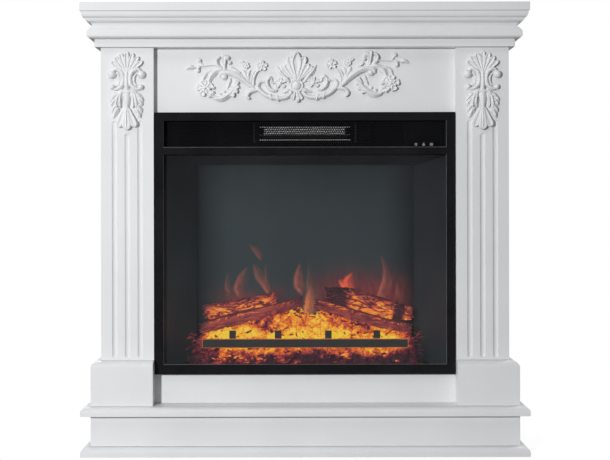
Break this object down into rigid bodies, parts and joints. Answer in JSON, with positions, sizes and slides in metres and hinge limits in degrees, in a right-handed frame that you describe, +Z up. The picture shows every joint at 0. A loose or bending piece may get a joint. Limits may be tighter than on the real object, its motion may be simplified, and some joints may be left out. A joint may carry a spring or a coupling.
{
  "type": "electric fireplace",
  "caption": "Freestanding electric fireplace: a white carved wooden mantel with fluted pilasters round a black glazed insert with glowing logs and an air outlet.",
  "frame": {"origin": "on the floor, under the centre of the base", "axes": "+Z up, -Y towards the room (the front with the glass), +X to the right of a person who faces the fire"},
  "size_m": [1, 0.35, 1.01],
  "materials": {
    "base_plate": "satin white paint on MDF",
    "riser_front": "satin white paint on MDF",
    "riser_left": "satin white paint on MDF",
    "riser_right": "satin white paint on MDF",
    "hearth_board": "satin white paint on MDF",
    "frieze_panel": "satin white paint on MDF",
    "lower_panel": "satin white paint on MDF",
    "stile_left": "satin white paint on MDF",
    "stile_right": "satin white paint on MDF",
    "side_panel_left": "satin white paint on MDF",
    "side_panel_right": "satin white paint on MDF",
    "pilaster_left": "satin white paint on MDF",
    "pilaster_right": "satin white paint on MDF",
    "plinth_block_left": "satin white paint on MDF",
    "plinth_block_right": "satin white paint on MDF",
    "plinth_return_left": "satin white paint on MDF",
    "plinth_return_right": "satin white paint on MDF",
    "pilaster_ornament_left": "satin white paint on MDF",
    "pilaster_ornament_right": "satin white paint on MDF",
    "frieze_ornament": "satin white paint on MDF",
    "fascia_board": "satin white paint on MDF",
    "crown_moulding_front": "satin white paint on MDF",
    "crown_moulding_left": "satin white paint on MDF",
    "crown_moulding_right": "satin white paint on MDF",
    "mantel_shelf": "satin white paint on MDF",
    "insert_shelf": "satin white paint on MDF",
    "trim_frame": "satin black",
    "case_wrapper": "satin black",
    "rear_cover": "satin black",
    "heater_deck": "satin black",
    "vent_grille": "satin black",
    "firebox_ceiling": "satin black",
    "cheek_left": "satin black",
    "cheek_right": "satin black",
    "front_glass": "clear toughened",
    "flame_screen": "smoked, half silvered",
    "flame_mask": "galvanised",
    "flame_rotor": "galvanised",
    "rotor_bracket": "galvanised",
    "heater_housing": "galvanised",
    "blower_motor": "galvanised",
    "rotor_bush": "moulded grey plastic",
    "blower_bearing": "moulded grey plastic",
    "button_power": "moulded grey plastic",
    "button_flame": "moulded grey plastic",
    "button_heater": "moulded grey plastic",
    "rotor_motor": "moulded black plastic",
    "blower_wheel": "moulded black plastic",
    "button_strip": "moulded black plastic",
    "cable_gland": "moulded black plastic",
    "ember_bed": "translucent cast resin",
    "log_left_front": "painted cast resin",
    "log_left_rear": "painted cast resin",
    "log_right_front": "painted cast resin",
    "log_right_rear": "painted cast resin",
    "fire_grate": "dark grey paint",
    "ember_led_strip": "circuit board",
    "flame_led_strip": "circuit board",
    "control_board": "circuit board",
    "heating_element": "bare fins"
  },
  "bodies": {
    "root": {"base_plate": "base_plate", "riser_front": "riser_front", "riser_left": "riser_left", "riser_right": "riser_right", "hearth_board": "hearth_board", "frieze_panel": "frieze_panel", "lower_panel": "lower_panel", "stile_left": "stile_left", "stile_right": "stile_right", "side_panel_left": "side_panel_left", "side_panel_right": "side_panel_right", "pilaster_left": "pilaster_left", "pilaster_right": "pilaster_right", "plinth_block_left": "plinth_block_left", "plinth_block_right": "plinth_block_right", "plinth_return_left": "plinth_return_left", "plinth_return_right": "plinth_return_right", "pilaster_ornament_left": "pilaster_ornament_left", "pilaster_ornament_right": "pilaster_ornament_right", "frieze_ornament": "frieze_ornament", "fascia_board": "fascia_board", "crown_moulding_front": "crown_moulding_front", "crown_moulding_left": "crown_moulding_left", "crown_moulding_right": "crown_moulding_right", "mantel_shelf": "mantel_shelf", "insert_shelf": "insert_shelf", "trim_frame": "trim_frame", "case_wrapper": "case_wrapper", "rear_cover": "rear_cover", "heater_deck": "heater_deck", "vent_grille": "vent_grille", "firebox_ceiling": "firebox_ceiling", "cheek_left": "cheek_left", "cheek_right": "cheek_right", "front_glass": "front_glass", "flame_screen": "flame_screen", "flame_mask": "flame_mask", "rotor_bracket": "rotor_bracket", "heater_housing": "heater_housing", "blower_motor": "blower_motor", "rotor_bush": "rotor_bush", "blower_bearing": "blower_bearing", "rotor_motor": "rotor_motor", "button_strip": "button_strip", "cable_gland": "cable_gland", "ember_bed": "ember_bed", "log_left_front": "log_left_front", "log_left_rear": "log_left_rear", "log_right_front": "log_right_front", "log_right_rear": "log_right_rear", "fire_grate": "fire_grate", "ember_led_strip": "ember_led_strip", "flame_led_strip": "flame_led_strip", "control_board": "control_board", "heating_element": "heating_element"},
    "flame_rotor": {"flame_rotor": "flame_rotor"},
    "blower_wheel": {"blower_wheel": "blower_wheel"},
    "button_power": {"button_power": "button_power"},
    "button_flame": {"button_flame": "button_flame"},
    "button_heater": {"button_heater": "button_heater"}
  },
  "joints": [
    {"name": "rotor_spin", "type": "hinge", "parent": "root", "child": "flame_rotor", "pos_m": [0, 0.058, 0.235], "axis": [1, 0, 0], "continuous": true},
    {"name": "blower_spin", "type": "hinge", "parent": "root", "child": "blower_wheel", "pos_m": [0, -0.035, 0.7255], "axis": [1, 0, 0], "continuous": true},
    {"name": "power_press", "type": "slide", "parent": "root", "child": "button_power", "axis": [0, 1, 0], "range_m": [0, 0.002], "stiffness_N_per_m": 300},
    {"name": "flame_press", "type": "slide", "parent": "root", "child": "button_flame", "axis": [0, 1, 0], "range_m": [0, 0.002], "stiffness_N_per_m": 300},
    {"name": "heater_press", "type": "slide", "parent": "root", "child": "button_heater", "axis": [0, 1, 0], "range_m": [0, 0.002], "stiffness_N_per_m": 300}
  ]
}
